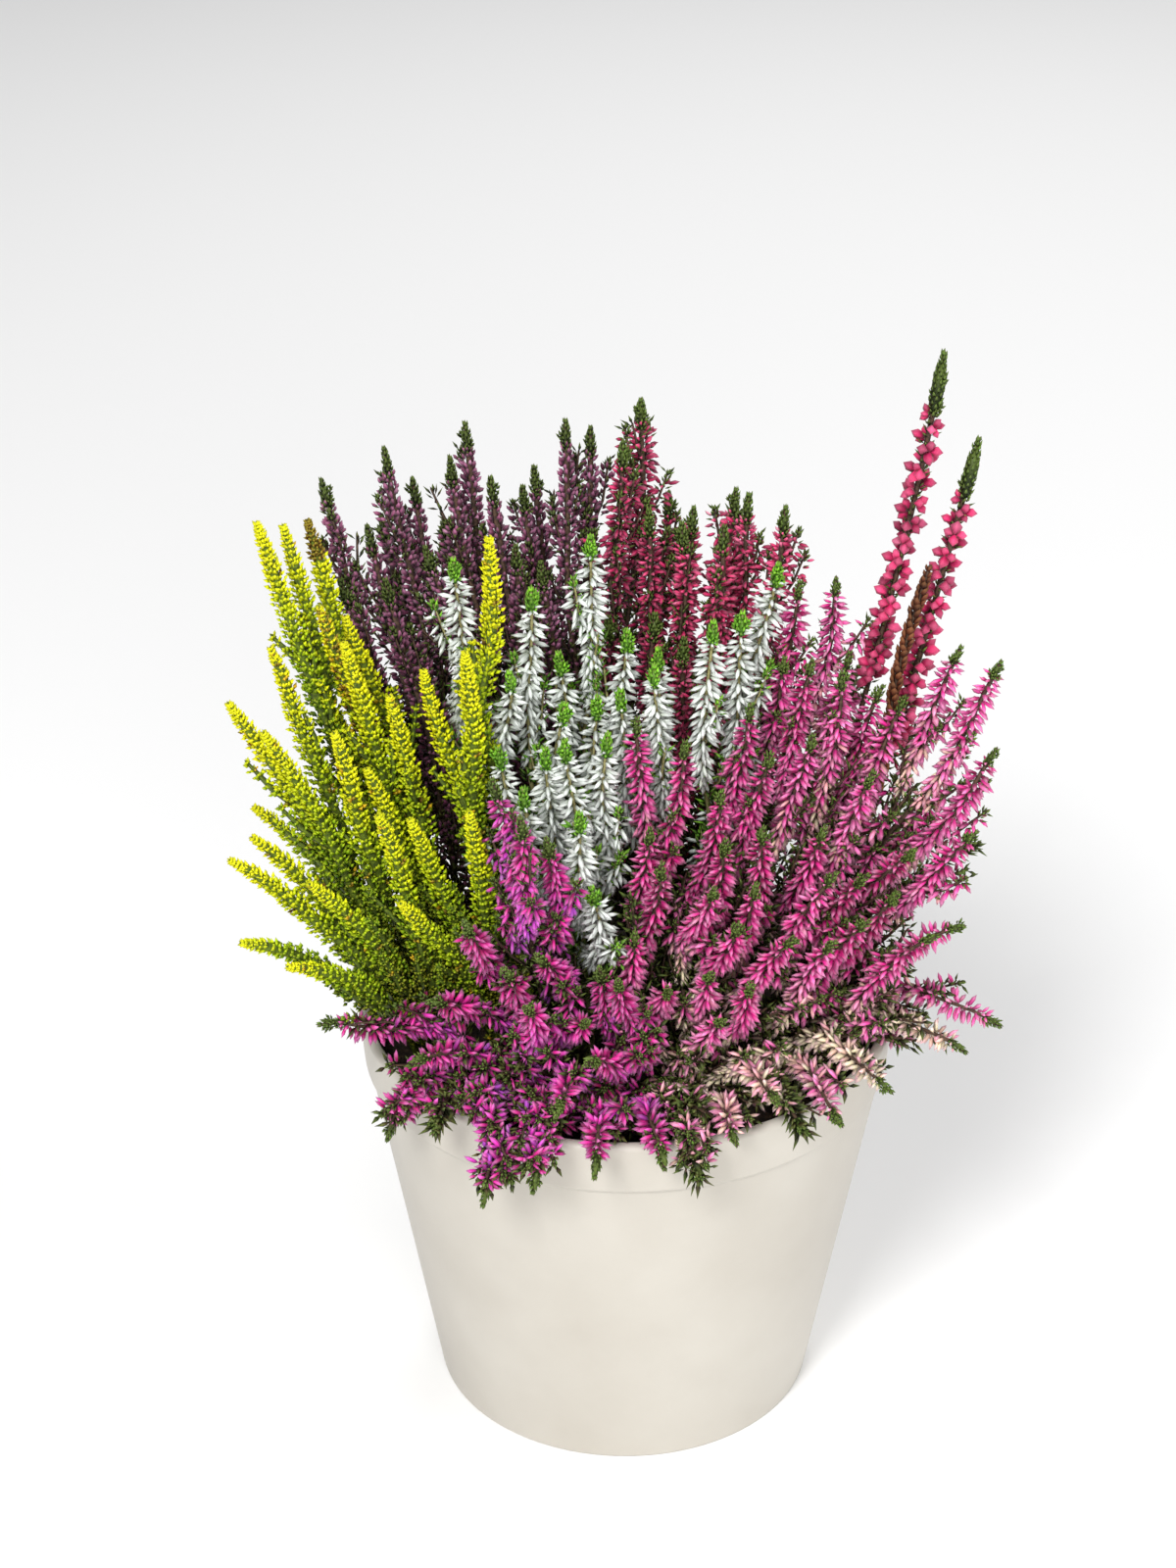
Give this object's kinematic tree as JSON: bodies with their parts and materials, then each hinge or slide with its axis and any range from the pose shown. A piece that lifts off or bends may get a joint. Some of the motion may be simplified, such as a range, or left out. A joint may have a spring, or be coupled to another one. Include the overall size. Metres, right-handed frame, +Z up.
{
  "type": "potted heather",
  "caption": "Plant pot filled with soil and planted with mixed bud-blooming heathers in yellow, purple, crimson, white, pink and violet; stands on its base.",
  "frame": {"origin": "centre of the underside of the pot's base, where it meets the surface it stands on", "axes": "+Z up through the pot's axis; -Y towards the front of the planting; +X to the viewer's right"},
  "size_m": [0.2101, 0.178, 0.3002],
  "materials": {
    "pot_plastic": "moulded, satin",
    "compost": "loose peat and bark crumbs",
    "yellow_foliage": "dense scale leaves",
    "purple_buds": "dry matt buds",
    "crimson_buds": "dry matt buds",
    "white_buds": "dry matt buds",
    "pink_buds": "dry matt buds",
    "violet_buds": "dry matt buds",
    "dead_stem": "dry bark",
    "green_leaves": "small scale leaves, satin",
    "woody_stems": "thin bark"
  },
  "bodies": {
    "root": {"pot": "pot_plastic", "soil": "compost", "yellow_spray_01": "yellow_foliage", "yellow_spray_02": "yellow_foliage", "yellow_spray_03": "yellow_foliage", "yellow_spray_04": "yellow_foliage", "yellow_spray_05": "yellow_foliage", "yellow_spray_06": "yellow_foliage", "yellow_spray_07": "yellow_foliage", "yellow_spray_08": "yellow_foliage", "yellow_spray_09": "yellow_foliage", "purple_spray_01": "purple_buds", "purple_spray_02": "purple_buds", "purple_spray_03": "purple_buds", "purple_spray_04": "purple_buds", "purple_spray_05": "purple_buds", "purple_spray_06": "purple_buds", "purple_spray_07": "purple_buds", "purple_spray_08": "purple_buds", "crimson_spray_01": "crimson_buds", "crimson_spray_02": "crimson_buds", "crimson_spray_03": "crimson_buds", "crimson_spray_04": "crimson_buds", "crimson_spray_05": "crimson_buds", "crimson_spray_06": "crimson_buds", "crimson_spray_07": "crimson_buds", "white_spray_01": "white_buds", "white_spray_02": "white_buds", "white_spray_03": "white_buds", "white_spray_04": "white_buds", "white_spray_05": "white_buds", "white_spray_06": "white_buds", "white_spray_07": "white_buds", "white_spray_08": "white_buds", "pink_spray_01": "pink_buds", "pink_spray_02": "pink_buds", "pink_spray_03": "pink_buds", "pink_spray_04": "pink_buds", "pink_spray_05": "pink_buds", "pink_spray_06": "pink_buds", "pink_spray_07": "pink_buds", "pink_spray_08": "pink_buds", "pink_spray_09": "pink_buds", "pink_spray_10": "pink_buds", "pink_spray_11": "pink_buds", "pink_spray_12": "pink_buds", "pink_spray_13": "pink_buds", "pink_spray_14": "pink_buds", "pink_spray_15": "pink_buds", "pink_spray_16": "pink_buds", "pink_spray_17": "pink_buds", "pink_spray_18": "pink_buds", "violet_spray_01": "violet_buds", "violet_spray_02": "violet_buds", "violet_spray_03": "violet_buds", "violet_spray_04": "violet_buds", "violet_spray_05": "violet_buds", "violet_spray_06": "violet_buds", "violet_spray_07": "violet_buds", "dead_spray_01": "dead_stem"}
  },
  "joints": []
}
